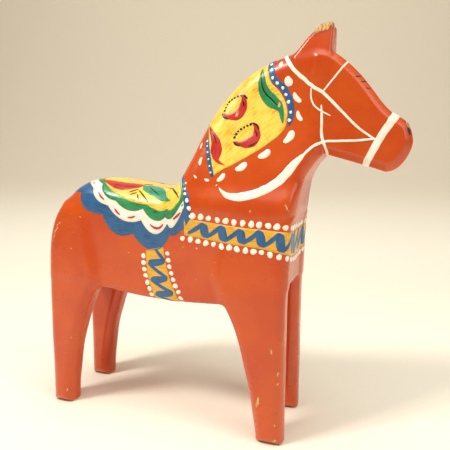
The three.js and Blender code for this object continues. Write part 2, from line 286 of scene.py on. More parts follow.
def skin_mesh():
    """The carved surface as quads, one corner in each grid cell that the skin crosses."""
    across = np.arange(-HALF_WIDTH - 4, HALF_WIDTH + 4.1, CARVING_PITCH)
    x, y, z = GRID_X[:, None, None], across[None, :, None], GRID_Z[None, None, :]
    depth = carve(SIDE_MAPS[:, None], x, y, z).astype(np.float32)
    full = depth < 0
    shape = np.array(depth.shape)
    corners = [np.array(c) for c in np.ndindex(2, 2, 2)]
    window = [tuple(slice(c[a], shape[a] - 1 + c[a]) for a in range(3)) for c in corners]
    count = sum(full[w].astype(np.int8) for w in window)
    cell = np.argwhere((count > 0) & (count < 8))
    number = np.full(shape - 1, -1)
    number[tuple(cell.T)] = np.arange(len(cell))
    total, crossings = np.zeros((len(cell), 3)), np.zeros(len(cell))
    for a in corners:
        for axis in range(3):
            if a[axis]:
                continue
            b = a + np.eye(3, dtype=int)[axis]
            fa, fb = depth[tuple((cell + a).T)], depth[tuple((cell + b).T)]
            crossed = (fa < 0) != (fb < 0)
            share = np.where(crossed, fa / np.where(fa == fb, 1, fa - fb), 0)
            total += crossed[:, None] * (a + share[:, None] * (b - a))
            crossings += crossed
    origin = np.array([GRID_X[0], across[0], GRID_Z[0]])
    points = origin + CARVING_PITCH * (cell + total / crossings[:, None])
    quads = []
    for axis in range(3):
        one = [slice(1, -1)] * 3
        near, far = list(one), list(one)
        near[axis], far[axis] = slice(0, -1), slice(1, None)
        change = full[tuple(near)].astype(np.int8) - full[tuple(far)]
        edge = np.argwhere(change != 0)
        lowest = edge + 1 - np.eye(3, dtype=int)[axis]
        turn = [(0, 0), (1, 0), (1, 1), (0, 1)]
        side = [np.eye(3, dtype=int)[(axis + k) % 3] for k in (1, 2)]
        ring = np.stack([number[tuple((lowest - i * side[0] - k * side[1]).T)] for i, k in turn], 1)
        outward = change[tuple(edge.T)] > 0
        quads.append(np.where(outward[:, None], ring, ring[:, ::-1]))
    quads = np.vstack(quads)
    for _ in range(2):
        spread, met = np.zeros_like(points), np.zeros(len(points))
        for k in range(4):
            np.add.at(spread, quads[:, k], points[quads[:, (k + 1) % 4]] + points[quads[:, k - 1]])
            np.add.at(met, quads[:, k], 2)
        points = settle(0.5 * points + 0.5 * spread / met[:, None], rounds=2)[0]
    return points, quads


def keep_side(mesh, at, normal):
    """Cuts a stave out of the block along a glued joint and closes the cut."""
    everything = mesh.verts[:] + mesh.edges[:] + mesh.faces[:]
    cut = bmesh.ops.bisect_plane(mesh, geom=everything, plane_co=at, plane_no=normal,
                                 clear_inner=True, dist=1e-5)
    rim = [e for e in cut["geom_cut"] if isinstance(e, bmesh.types.BMEdge)]
    closed = bmesh.ops.triangle_fill(mesh, use_beauty=True, use_dissolve=False, edges=rim)
    for face in closed["geom"]:
        if isinstance(face, bmesh.types.BMFace):
            face.material_index = 1
            face.smooth = False


def placed(name, data):
    thing = bpy.data.objects.new(name, data)
    bpy.context.scene.collection.objects.link(thing)
    return thing


def make_piece(name, mesh_data, finishes, replaced=None):
    """One piece of the horse, riding on its only body."""
    piece = placed(name, mesh_data)
    for finish in finishes:
        mesh_data.materials.append(finish)
    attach(piece, "root")
    if replaced:
        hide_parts(replaced)


def socket(node, name, value):
    node.inputs[name].default_value = value


def mixed(tree, kind, a, b, amount):
    """A mix node: kind FLOAT or RGBA, its ends fixed values or sockets."""
    node = tree.nodes.new("ShaderNodeMix")
    node.data_type = kind
    places = {"FLOAT": (2, 3, 0), "RGBA": (6, 7, 2)}[kind]
    for place, value in ((places[0], a), (places[1], b), (0, amount)):
        if isinstance(value, bpy.types.NodeSocket):
            tree.links.new(value, node.inputs[place])
        else:
            node.inputs[place].default_value = value
    return node.outputs[places[2]]


def blotches(tree, size, detail, stretch=(1, 1, 1), source=None, roughness=0.5):
    """Noise with features about size mm across, stretched along the axes."""
    if source is None:
        source = tree.nodes.new("ShaderNodeTexCoord").outputs["Object"]
    scale = tree.nodes.new("ShaderNodeMapping")
    scale.inputs["Scale"].default_value = [1000 / size / s for s in stretch]
    noise = tree.nodes.new("ShaderNodeTexNoise")
    socket(noise, "Scale", 1.0)
    socket(noise, "Detail", detail)
    socket(noise, "Roughness", roughness)
    tree.links.new(source, scale.inputs["Vector"])
    tree.links.new(scale.outputs["Vector"], noise.inputs["Vector"])
    return noise.outputs["Fac"]


def banded(tree, value, low, high, to_low=0.0, to_high=1.0):
    """A smooth step from one level to another as the value goes from low to high."""
    node = tree.nodes.new("ShaderNodeMapRange")
    node.interpolation_type = "SMOOTHSTEP"
    for name, number in (("From Min", low), ("From Max", high), ("To Min", to_low), ("To Max", to_high)):
        socket(node, name, number)
    tree.links.new(value, node.inputs["Value"])
    return node.outputs["Result"]


def worked(tree, kind, a, b=None):
    """One step of arithmetic on numbers or sockets."""
    node = tree.nodes.new("ShaderNodeMath")
    node.operation = kind
    for place, value in enumerate((a, b)):
        if isinstance(value, bpy.types.NodeSocket):
            tree.links.new(value, node.inputs[place])
        elif value is not None:
            node.inputs[place].default_value = value
    return node.outputs[0]


def raised(tree, shader, height, depth):
    """Bump of the given depth in mm on a shader, from a 0 to 1 height."""
    bump = tree.nodes.new("ShaderNodeBump")
    socket(bump, "Distance", depth / 1000)
    tree.links.new(height, bump.inputs["Height"])
    tree.links.new(bump.outputs["Normal"], shader.inputs["Normal"])


def linear(red, green, blue):
    """A paint chip's screen colour as the shader's linear colour."""
    chip = (red, green, blue)
    return tuple(((c / 255 + 0.055) / 1.055) ** 2.4 if c > 10 else c / 3295 for c in chip) + (1,)


def new_finish(name, roughness, coat):
    """A surface of enamel, wood or paper, with as much clear gloss as coat says."""
    finish = bpy.data.materials.new(name)
    finish.use_nodes = True
    shader = finish.node_tree.nodes["Principled BSDF"]
    socket(shader, "Roughness", roughness)
    socket(shader, "Coat Weight", coat)
    socket(shader, "Coat Roughness", 0.2)
    socket(shader, "Specular IOR Level", 0.4)
    return finish, finish.node_tree, shader


def near_place(tree, x, y, z, reach, source):
    """1 at a place on the horse in mm, falling to 0 at the given reach."""
    away = tree.nodes.new("ShaderNodeVectorMath")
    away.operation = "DISTANCE"
    tree.links.new(source, away.inputs[0])
    away.inputs[1].default_value = (x / 1000, y / 1000, z / 1000)
    return banded(tree, away.outputs["Value"], reach / 1000, 0.0)


def enamel_red():
    """Gloss orange-red oil enamel over pine. It is thin on the edges that hands and
    floors rub, so the ear tips, the nose and the rims of the feet show wood."""
    finish, tree, shader = new_finish("orange_red_enamel", 0.3, 0.4)
    place = tree.nodes.new("ShaderNodeTexCoord").outputs["Object"]
    split = tree.nodes.new("ShaderNodeSeparateXYZ")
    tree.links.new(place, split.inputs[0])
    cloud = blotches(tree, 38, 3, source=place)
    fresh = mixed(tree, "RGBA", linear(200, 70, 8), linear(209, 82, 11), banded(tree, cloud, 0.35, 0.65))
    fine = blotches(tree, 2.6, 5, stretch=(1, 1, 5), source=place, roughness=0.6)
    coat = mixed(tree, "RGBA", fresh, linear(186, 56, 8), banded(tree, fine, 0.56, 0.8, 0, 0.35))
    grain = blotches(tree, 1.3, 6, stretch=(1, 1, 14), source=place, roughness=0.65)
    pine = mixed(tree, "RGBA", linear(150, 96, 48), linear(228, 186, 116), banded(tree, grain, 0.35, 0.62))
    ragged = blotches(tree, 3.2, 6, stretch=(1, 1, 2.2), source=place, roughness=0.7)
    right_tip, left_tip = (near_place(tree, 79, y, 302, 19, place) for y in (-11, 11))
    ear_tip = worked(tree, "MAXIMUM", right_tip, left_tip)
    feet = banded(tree, split.outputs["Z"], 0.0022, 0.0004)
    nose_rub = near_place(tree, 140.5, -9, 233, 11, place)
    muzzle_rub = near_place(tree, 141, 2, 212, 8, place)
    rubbed = worked(tree, "MAXIMUM", nose_rub, muzzle_rub)
    for mask in (feet, ear_tip):
        rubbed = worked(tree, "MAXIMUM", mask, rubbed)
    bare = banded(tree, worked(tree, "ADD", rubbed, ragged), 1.02, 1.12)
    edge_dirt = banded(tree, worked(tree, "ADD", rubbed, ragged), 0.86, 1.04)
    colour = mixed(tree, "RGBA", coat, linear(120, 44, 20), worked(tree, "MULTIPLY", edge_dirt, 0.55))
    colour = mixed(tree, "RGBA", colour, pine, bare)
    tree.links.new(colour, shader.inputs["Base Color"])
    smear = blotches(tree, 14, 4, stretch=(2, 1, 1), source=place)
    gloss = mixed(tree, "FLOAT", banded(tree, smear, 0.3, 0.7, 0.25, 0.38), 0.75, bare)
    tree.links.new(gloss, shader.inputs["Roughness"])
    brushed = blotches(tree, 1.6, 3, stretch=(6, 1, 1), source=place)
    flow = blotches(tree, 9, 2, source=place)
    brushed, flow = worked(tree, "MULTIPLY", brushed, 0.35), worked(tree, "MULTIPLY", flow, 0.9)
    relief = worked(tree, "ADD", brushed, flow)
    raised(tree, shader, worked(tree, "SUBTRACT", relief, worked(tree, "MULTIPLY", bare, 0.5)), 0.16)
    return finish


def dry_pine(name, matt, grain_size, grain_length, raggedness, dark, light, band, depth):
    """Unpainted pine with upright grain: streaks of two tones, a little raised."""
    finish, tree, shader = new_finish(name, matt, 0.0)
    grain = blotches(tree, grain_size, 6, stretch=(1, 1, grain_length), roughness=raggedness)
    colour = mixed(tree, "RGBA", linear(*dark), linear(*light), banded(tree, grain, *band))
    tree.links.new(colour, shader.inputs["Base Color"])
    raised(tree, shader, grain, depth)
    return finish


ENAMEL = enamel_red()
# Clean pine at the glued joints only shows if the horse comes apart.
PINE = dry_pine("glued_pine", 0.7, 1.6, 18, 0.6, (196, 148, 90), (232, 196, 138), (0.35, 0.65), 0.1)
skin_points, skin_quads = skin_mesh()
skin_points = np.clip(skin_points, LOW, HIGH)
whole = bmesh.new()
for point in skin_points / 1000:
    whole.verts.new(point)
whole.verts.ensure_lookup_table()
for quad in skin_quads:
    whole.faces.new([whole.verts[i] for i in quad]).smooth = True
for name in NODES:
    stave = whole.copy()
    side = {"l": 1, "r": -1}.get(name[0], 0)
    if side:
        keep_side(stave, (0, side * CORE / 1000, 0), (0, side, 0))
        joint = (SIDE_JOINT / 1000, 0, 0)
    else:
        keep_side(stave, (0, CORE / 1000, 0), (0, -1, 0))
        keep_side(stave, (0, -CORE / 1000, 0), (0, 1, 0))
        joint = (CORE_JOINT / 1000, 0, 0)
    keep_side(stave, joint, (1 if "head" in name or "fore" in name else -1, 0, 0))
    mesh = bpy.data.meshes.new(name + "_carved")
    stave.to_mesh(mesh)
    stave.free()
    places = np.array([v.co for v in mesh.vertices]) * 1000
    smooth_normals = settle(places, rounds=0)[1]
    loops = [tuple(polygon.normal) if polygon.material_index else smooth_normals[i]
             for polygon in mesh.polygons for i in polygon.vertices]
    mesh.normals_split_custom_set(loops)
    make_piece("carved_" + name, mesh, (ENAMEL, PINE), name)
whole.free()

# ---------------------------------------------------------------------------------
# Mane cloth. A yellow leaf-shaped field brushed over the crest and down both sides of
# the neck, edged in dotted blue, with green and red leaves and two red half-moons.
# Every colour is thick brush enamel laid on top of the dry orange-red coat.
# ---------------------------------------------------------------------------------
class Wrap:
    """A flat pattern wrapped round the wood: the first measure runs along an axis, the
    second round it from the middle line, to the horse's left where positive."""

    def __init__(self, start, axis, top, length, reach):
        self.step, turns = 2.0, np.radians(np.arange(0, 181, 2.5))
        stations = np.arange(0, length + 1, self.step)
        centre = np.array(start, float) + stations[:, None] * np.array(axis, float)
        top, left = np.array(top, float), np.array([0, 1.0, 0])
        ray = np.cos(turns)[:, None] * top + np.sin(turns)[:, None] * left
        low = np.zeros((len(stations), len(turns)))
        high = np.full_like(low, 85.0)
        for _ in range(18):
            middle = (low + high) / 2
            p = centre[:, None] + middle[..., None] * ray
            out = wood(p.reshape(-1, 3)).reshape(low.shape) > 0
            low, high = np.where(out, low, middle), np.where(out, middle, high)
        skin = centre[:, None] + low[..., None] * ray
        rows = []
        for line in skin:
            along = walked(line)
            wanted = np.arange(0, reach, 1.0)
            rows.append(np.stack([np.interp(wanted, along, line[:, k]) for k in range(3)], 1))
        self.table = np.stack(rows)

    def __call__(self, points):
        points = np.array(points, float)
        u = np.clip(points[:, 0] / self.step, 0, self.table.shape[0] - 1.001)
        v = np.clip(np.abs(points[:, 1]), 0, self.table.shape[1] - 1.001)
        i, k = u.astype(int), v.astype(int)
        fu, fv = (u - i)[:, None], (v - k)[:, None]
        t = self.table
        p = ((t[i, k] * (1 - fu) + t[i + 1, k] * fu) * (1 - fv)
             + (t[i, k + 1] * (1 - fu) + t[i + 1, k + 1] * fu) * fv)
        p[:, 1] *= np.where(points[:, 1] < 0, -1, 1)
        return settle(p, rounds=2)[0]


def on_side(hand):
    """Places measured along and up, found on the right or the left side."""
    def find(points):
        points = np.array(points, float)
        low, high = np.zeros(len(points)), np.full(len(points), HALF_WIDTH + 3)
        for _ in range(14):
            middle = (low + high) / 2
            out = wood(np.stack([points[:, 0], middle, points[:, 1]], 1)) > 0
            low, high = np.where(out, low, middle), np.where(out, middle, high)
        return settle(np.stack([points[:, 0], hand * low, points[:, 1]], 1), rounds=4)[0]
    return find


def over_skin(points):
    """Places given in space, laid on the nearest skin."""
    return settle(points, rounds=4)[0]


def stroke(way, find, base, rise, steps=1.0):
    """One pull of a brush: points (first, second, half width), laid along the skin. The
    paint stands from base mm over the enamel, domed by rise, and thins out at its ends."""
    way = np.array(way, float)
    fine = spread_along(way, steps)
    line, half = find(fine[:, :-1]), fine[:, -1]
    normal = settle(line, rounds=0)[1]
    ahead = np.gradient(line, axis=0)
    ahead /= np.maximum(np.linalg.norm(ahead, axis=1, keepdims=True), 1e-6)
    sideways = np.cross(normal, ahead)
    along = walked(line)
    to_end = np.minimum(along, along[-1] - along)
    cap = np.maximum(half, 0.05)
    half = half * np.sqrt(np.clip(1 - np.clip(1 - to_end / cap, 0, 1) ** 2, 0.003, 1))
    knots = np.arange(0, along[-1] + 3, 2.2)
    wobble = [1 + 0.07 * np.interp(along, knots, BRUSH.uniform(-1, 1, len(knots))) for _ in range(2)]
    across = np.array([-1, -0.86, -0.5, 0, 0.5, 0.86, 1])
    rows = [line + sideways * (v * half * wobble[int(v > 0)])[:, None] for v in across]
    dome = base - 0.12 + (rise + 0.12) * np.sqrt(1 - across**4)
    points = settle(np.stack(rows, 1).reshape(-1, 3), np.tile(dome, len(line)), rounds=2)[0]
    count = len(across)
    faces = [(i * count + k, (i + 1) * count + k, (i + 1) * count + k + 1, i * count + k + 1)
             for i in range(len(line) - 1) for k in range(count - 1)]
    lay = np.stack([np.repeat(along, count), (half[:, None] * across).ravel()], 1)
    return points, faces, lay + BRUSH.uniform(0, 90, 2)


def blob(place, find, radius, base, rise):
    """A dot of paint let off a round brush, a little out of true, standing up in a dome."""
    middle = find([place])
    normal = settle(middle, rounds=0)[1][0]
    side = np.cross(normal, (0, 0.3, 1))
    side /= np.linalg.norm(side)
    other = np.cross(normal, side)
    turns = np.arange(12) * math.tau / 12
    uneven = 1 + 0.09 * np.sin(2 * turns + BRUSH.uniform(0, 6))
    uneven += 0.06 * np.sin(3 * turns + BRUSH.uniform(0, 6))
    rings, lifts = [middle[0][None]], [base + rise]
    for share, height in ((0.5, 0.93), (0.84, 0.62), (1.0, -0.12 / max(rise, 0.05))):
        reach = (radius * share * uneven)[:, None]
        rings.append(middle[0] + reach * (np.cos(turns)[:, None] * side + np.sin(turns)[:, None] * other))
        lifts += [base + rise * height] * 12
    points = settle(np.vstack(rings), lifts, rounds=2)[0]
    faces = [(0, 1 + k, 1 + (k + 1) % 12) for k in range(12)]
    faces += [(1 + r * 12 + k, 13 + r * 12 + k, 13 + r * 12 + (k + 1) % 12, 1 + r * 12 + (k + 1) % 12)
              for r in range(2) for k in range(12)]
    return points, faces, np.vstack(rings)[:, [0, 2]] + BRUSH.uniform(0, 90, 2)


def field(edge, find, base, pitch=2.0):
    """A filled patch of brushed paint inside an edge, with its rim down on the skin."""
    edge = np.array(edge, float)
    low, high = edge.min(0) - pitch, edge.max(0) + pitch
    rows = np.arange(low[1], high[1], pitch * 0.866)
    inner = []
    for i, v in enumerate(rows):
        for u in np.arange(low[0] + (i % 2) * pitch / 2, high[0], pitch):
            inner.append((u, v))
    inner = np.array(inner)
    start, end = edge, np.roll(edge, -1, axis=0)
    run = end - start
    share = np.clip(((inner[:, None] - start) * run).sum(2) / np.maximum((run**2).sum(1), 1e-9), 0, 1)
    gap = np.linalg.norm(inner[:, None] - start - share[..., None] * run, axis=2).min(1)
    crosses = (start[:, 1] > inner[:, None, 1]) != (end[:, 1] > inner[:, None, 1])
    rise = np.where(run[:, 1] == 0, 1, run[:, 1])
    reach = start[:, 0] + (inner[:, None, 1] - start[:, 1]) * run[:, 0] / rise
    inside = (crosses & (inner[:, None, 0] < reach)).sum(1) % 2 == 1
    inner = inner[inside & (gap > pitch * 0.45)]
    flat = [Vector(p) for p in np.vstack([edge, inner])]
    ring = [(i, (i + 1) % len(edge)) for i in range(len(edge))]
    made, _, faces = delaunay_2d_cdt(flat, ring, [tuple(range(len(edge)))], 1, 1e-4)[:3]
    made = np.array([tuple(p) for p in made])
    uses = dict.fromkeys(pair for face in faces for pair in zip(face, face[1:] + face[:1]))
    rim = [(a, b) for a, b in uses if (b, a) not in uses]
    number = {v: len(made) + i for i, v in enumerate(dict.fromkeys(v for pair in rim for v in pair))}
    places = find(made)
    skirt = places[list(number)]
    points = settle(np.vstack([places, skirt]), [base] * len(made) + [-0.04] * len(skirt), rounds=1)[0]
    faces = [tuple(f) for f in faces] + [(a, number[a], number[b], b) for a, b in rim]
    lay = np.vstack([made, made[list(number)]])
    return points, faces, lay


def paint(name, sheets, material):
    """One colour of one part of the pattern, as a single piece."""
    points = np.vstack([s[0] for s in sheets])
    starts = np.cumsum([0] + [len(s[0]) for s in sheets])
    faces = [tuple(int(i) + int(n) for i in f) for n, s in zip(starts, sheets) for f in s[1]]
    mesh = bpy.data.meshes.new(name)
    mesh.from_pydata([tuple(p) for p in points / 1000], [], faces)
    mesh.validate()
    film = bmesh.new()
    film.from_mesh(mesh)
    outward = settle(points, rounds=0)[1]
    film.verts.ensure_lookup_table()
    for face in film.faces:
        face.normal_update()
        if face.normal.dot(Vector(outward[[v.index for v in face.verts]].mean(0))) < -0.15:
            face.normal_flip()
    film.to_mesh(mesh)
    film.free()
    mesh.shade_smooth()
    lay = mesh.attributes.new("lay", "FLOAT_VECTOR", "POINT")
    pulls = np.vstack([s[2] for s in sheets])
    lay.data.foreach_set("vector", np.hstack([pulls / 1000, np.zeros((len(pulls), 1))]).ravel())
    make_piece(name, mesh, [material])


def brush_enamel(name, light, dark, streak=0.5, gloss=0.32, along=9.0, scuffs=0.0):
    """Thick enamel pulled out by a small brush: hair marks along the stroke, a colour
    that thins to the darker tone between them, and fine scuffs where it has rubbed."""
    finish, tree, shader = new_finish(name, gloss, 0.25)
    lay = tree.nodes.new("ShaderNodeAttribute")
    lay.attribute_name = "lay"
    hairs = blotches(tree, 0.9, 4, stretch=(along, 1, 1), source=lay.outputs["Vector"], roughness=0.6)
    cloud = blotches(tree, 9, 3)
    thin = mixed(tree, "FLOAT", cloud, hairs, streak)
    colour = mixed(tree, "RGBA", dark, light, banded(tree, thin, 0.34, 0.56))
    if scuffs:
        rubbed = banded(tree, blotches(tree, 1.8, 6, roughness=0.75), 0.66, 0.72, 0, scuffs)
        colour = mixed(tree, "RGBA", colour, linear(206, 120, 74), rubbed)
    tree.links.new(colour, shader.inputs["Base Color"])
    tree.links.new(banded(tree, cloud, 0.3, 0.7, gloss - 0.06, gloss + 0.1), shader.inputs["Roughness"])
    raised(tree, shader, hairs, 0.14)
    return finish


BRUSH = np.random.default_rng(7)
YELLOW = brush_enamel("yellow_enamel", linear(254, 222, 92), linear(228, 164, 44), 0.66, along=9)
BLUE = brush_enamel("blue_enamel", linear(50, 102, 152), linear(34, 78, 122), 0.6)
WHITE = brush_enamel("cream_white_enamel", linear(255, 250, 238), linear(244, 228, 204), 0.6, scuffs=0.3)
GREEN = brush_enamel("green_enamel", linear(52, 150, 92), linear(26, 112, 70), 0.6)
RED = brush_enamel("crimson_enamel", linear(206, 52, 46), linear(168, 28, 30), 0.6)
BLACK = brush_enamel("black_enamel", linear(34, 28, 24), linear(16, 13, 12), 0.5)
RIGHT, LEFT = -1, 1


def leaning(length, degrees):
    """A short run of the given length, leaning by so many degrees."""
    lean = math.radians(degrees)
    return length * np.array([math.cos(lean), math.sin(lean)])


def for_hand(points, hand):
    """The pattern is measured down the right side; the left side mirrors it."""
    points = np.array(points, float)
    points[:, 1] *= -hand
    return points


def both_sides(half):
    """A closed edge made from one side's run that starts and ends on the middle line."""
    half = np.array(half, float)
    return np.vstack([half, (half * (1, -1))[-2:0:-1]])


around_neck = Wrap((-15.8, 0, 176.4), (0.684, 0, 0.7294), (-0.7294, 0, 0.684), 150, 78)
mane_edge = np.vstack([
    spread_along([(114, 0), (112.5, -10), (108.5, -20), (104.5, -27), (104, -35), (101.5, -45),
                  (97.3, -52.5), (91, -59), (86.7, -61.2), (78.7, -62.2), (67.3, -61), (57.7, -58.8),
                  (46, -55), (36.7, -51), (30, -49.2)], 1.5)[:-1],
    spread_along([(30, -49.2), (33.5, -42), (40, -33), (46, -26.5), (51, -18), (53.5, -8), (54, 0)], 1.5),
])
paint("mane_yellow", [field(both_sides(mane_edge), around_neck, 0.14)], YELLOW)
GREEN_LEAF = [(107, -12.5, 0.3), (103.7, -18.5, 1.9), (98.5, -26, 3.3), (96, -33, 4.4), (95.5, -39, 4.8),
              (96.2, -44, 3.6), (95.4, -48.5, 2.1), (92.3, -53.3, 1.4), (89.7, -57, 0.3)]
LEAF_RIB = [(105, -15.5, 0.3), (99.7, -23.8, 0.5), (96.6, -30.5, 0.6), (96.3, -38.8, 0.6),
            (95.9, -45, 0.3)]
RED_LEAF = [(52, -19.2, 0.3), (51, -23, 1.3), (49.5, -29.3, 2.6), (47, -34.9, 3.8), (43.8, -38.4, 4.2),
            (41, -41.6, 2.9), (39.8, -44, 1.5), (40.1, -47, 0.9), (41.4, -50.6, 0.2)]
RED_RIB = [(51.2, -22.4, 0.3), (50, -29.5, 0.55), (47.4, -35, 0.4)]
HALF_MOONS = (
    [(66, -21, 0.5), (66.3, -25.6, 1.5), (69.3, -29, 3.1), (73, -30.4, 3.6), (77.5, -29.3, 3.1),
     (81.3, -26.6, 2.5), (83.6, -23.4, 1.5), (83.2, -20.8, 0.4)],
    [(57.6, -43.4, 0.5), (59, -47.5, 1.5), (62.5, -51, 3.4), (66.5, -52.6, 4.0), (71.2, -51.6, 3.3),
     (74, -48.5, 2.1), (75.4, -45.3, 1.2), (75.6, -42.2, 0.4)],
)
MOON_STROKES = ([(64.9, -20.6), (64.4, -24.6), (65.6, -27.8)], [(82.8, -20.2), (84.9, -22.6), (85, -26.2)],
                [(79, -28.8), (80.8, -26.8), (81.7, -24.6)], [(56.9, -42.9), (57, -46), (58.5, -49)],
                [(75.3, -42), (76.5, -45.5), (75.6, -49.6)], [(61.8, -53), (65, -54.7), (68.8, -55)],
                [(70.6, -52.8), (72.4, -50.6), (73, -47.8)])
SEED_ARCS = ([(67.6, -20.4), (71, -18.2), (75.5, -17.3), (81.4, -19.4)],
             [(59.6, -41.2), (63.5, -39.8), (68.5, -40.4), (74, -42.2)])
RIGHT_BORDER = [(116.5, -4, 2.2), (113.8, -11, 2.5), (110.3, -19, 2.4), (107.2, -26, 2.2),
                (107.2, -34, 2.3), (105.2, -43, 2.4), (100.2, -52.6, 2.2), (95.4, -57.8, 1.9),
                (91.5, -60.8, 1.0)]
LEFT_BORDER = [(47.5, -24.4, 0.7), (43, -29, 1.5), (37.5, -36.5, 1.6), (33, -43.2, 1.6),
               (29.4, -49.4, 1.3)]
RIGHT_DOTS = ((113.3, -13), (110.8, -18.6), (107.2, -24.6), (106.9, -30), (106.9, -35.2), (105.4, -40.6),
              (103, -46.4), (98.9, -53.8), (94.4, -58.2))
LEFT_DOTS = ((43.8, -27.6), (41.4, -30.6), (38.8, -34), (36, -38), (33.2, -42), (30.6, -46.2))
# White dabs round the cloth: middle, half length, half width and lean in degrees.
DABS = ((118, -17.5, 3, 1.7, 60), (113.8, -32.5, 4.2, 2.9, 70), (109.3, -46.5, 4.6, 1.7, 80),
        (101.5, -59.5, 4.4, 1.5, 70), (86, -67, 5.4, 2.5, 195), (66.3, -65.2, 4.8, 2.5, 170),
        (49, -60, 4.8, 2.4, 165), (33.5, -54.2, 3.9, 1.8, 175), (25.3, -47.4, 2.1, 1.1, 120),
        (20.8, -39, 1.8, 0.8, 90), (27.6, -56, 0.9, 0.5, 0), (38, -25.6, 2.4, 0.8, 35),
        (31, -34.6, 3.0, 1.2, 30))
green, reds, blacks, blues, whites = [], [], [], [], []
for hand in (RIGHT, LEFT):
    green.append(stroke(for_hand(GREEN_LEAF, hand), around_neck, 0.24, 0.22))
    reds.append(stroke(for_hand(RED_LEAF, hand), around_neck, 0.24, 0.22))
    reds += [stroke(for_hand(moon, hand), around_neck, 0.24, 0.24) for moon in HALF_MOONS]
    blacks += [stroke(for_hand(rib, hand), around_neck, 0.44, 0.1) for rib in (LEAF_RIB, RED_RIB)]
    for arc in MOON_STROKES:
        pull = [(u, v, w) for (u, v), w in zip(arc, (0.5, 0.8, 0.45))]
        blacks.append(stroke(for_hand(pull, hand), around_neck, 0.4, 0.12, 0.7))
    for arc in SEED_ARCS:
        line = spread_along(for_hand(arc, hand), 0.5)
        for i in np.linspace(0, len(line) - 1, 7).astype(int):
            blacks.append(blob(line[i], around_neck, BRUSH.uniform(0.85, 1.15), 0.2, 0.16))
    blues += [stroke(for_hand(edge, hand), around_neck, 0.24, 0.12)
              for edge in (RIGHT_BORDER, LEFT_BORDER)]
    for spot, size in [(p, 1.25) for p in RIGHT_DOTS] + [(p, 0.8) for p in LEFT_DOTS]:
        place = for_hand([spot], hand)[0] + BRUSH.uniform(-0.2, 0.2, 2)
        whites.append(blob(place, around_neck, size * BRUSH.uniform(0.9, 1.1), 0.3, 0.26))
    for u, v, half_length, half_width, lean in DABS:
        reach = leaning(half_length, lean)
        bow = 0.22 * np.array([-reach[1], reach[0]])
        pull = [(u - reach[0], v - reach[1], half_width * 0.75), (u + bow[0], v + bow[1], half_width),
                (u + reach[0], v + reach[1], half_width * 0.5)]
        whites.append(stroke(for_hand(pull, hand), around_neck, 0.1, 0.3, 0.7))
paint("mane_green_leaves", green, GREEN)
paint("mane_red_leaves_and_moons", reds, RED)
paint("mane_black_veins_and_seeds", blacks, BLACK)
paint("mane_blue_borders", blues, BLUE)
paint("mane_white_dots_and_dabs", whites, WHITE)

# ---------------------------------------------------------------------------------
# Saddle cloth. Four scalloped layers of brushed colour, one inside the other, thrown
# over the back: blue, white, green and a yellow middle, with a red petal and a green
# leaf on each side and a row of white dots where the cloth meets the neck.
# ---------------------------------------------------------------------------------
def scalloped(cusps, sags, front):
    """An edge of outward arcs from cusp to cusp, then down the front to the middle."""
    run = []
    for a, b, sag in zip(cusps, cusps[1:], sags):
        a, b = np.array(a, float), np.array(b, float)
        chord = b - a
        out = np.array([chord[1], -chord[0]]) / np.linalg.norm(chord)
        share = np.linspace(0, 1, max(4, int(np.linalg.norm(chord) / 1.5)))[:-1, None]
        run.append(a + share * chord + out * sag * 4 * share * (1 - share))
    return np.vstack(run + [spread_along([cusps[-1]] + front, 1.5)])


SADDLE_START = -140
around_body = Wrap((SADDLE_START, 0, 148), (1, 0, 0), (0, 0, 1), 150, 150)


def on_body(points):
    """Places along the horse, and round it from the middle of the back."""
    points = np.array(points, float)
    return around_body(np.stack([points[:, 0] - SADDLE_START, points[:, 1]], 1))


CLOTHS = (
    ("blue", BLUE, 0.12,
     [(-119, 0), (-106, -34), (-85, -52.4), (-57.7, -62.8), (-25.7, -64), (-8, -78.5)],
     (8, 7.5, 8, 9.5, 2.2), [(-8.4, -69), (-9.6, -59.5), (-12.2, -50), (-19, -24), (-26, 0)]),
    ("white", WHITE, 0.2,
     [(-107.5, 0), (-95.7, -31.4), (-79.3, -44.4), (-50, -51), (-27.5, -54), (-12.8, -62)],
     (5, 4, 6, 7.5, 4.5), [(-13.6, -56), (-15, -48), (-21, -22), (-27, 0)]),
    ("green", GREEN, 0.28,
     [(-102, 0), (-89.7, -26.2), (-72.7, -39.5), (-48.3, -42), (-29, -48.3), (-13.2, -56)],
     (5, 4.2, 4.3, 4.2, 2.6), [(-14.4, -50), (-16, -44), (-22, -20), (-28, 0)]),
    ("yellow", YELLOW, 0.36, [(-98, 0), (-77.3, -32.2), (-45.3, -38.5), (-27.3, -43), (-16.6, -51)],
     (5.4, 2.2, 1.0, 1.6), [(-16.2, -46), (-18, -38), (-23, -18), (-29, 0)]),
)
for colour, material, lift, cusps, sags, front in CLOTHS:
    edge = both_sides(scalloped(cusps, sags, front))
    paint("saddle_" + colour + "_cloth", [field(edge, on_body, lift)], material)
PETAL = [(-94, -18.6, 0.4), (-86, -21.4, 3.4), (-78.5, -22.6, 5.6), (-71, -22.8, 6.8), (-64.5, -20.8, 6.2),
         (-59.4, -17.6, 4.2), (-56.5, -15, 0.8)]
SADDLE_LEAF = [(-56.6, -17.6, 2.0), (-52, -18.8, 6.0), (-46.5, -21.2, 7.4), (-40, -25.4, 6.2),
               (-34, -31, 3.4), (-29, -35, 1.5), (-25, -38.8, 0.3)]
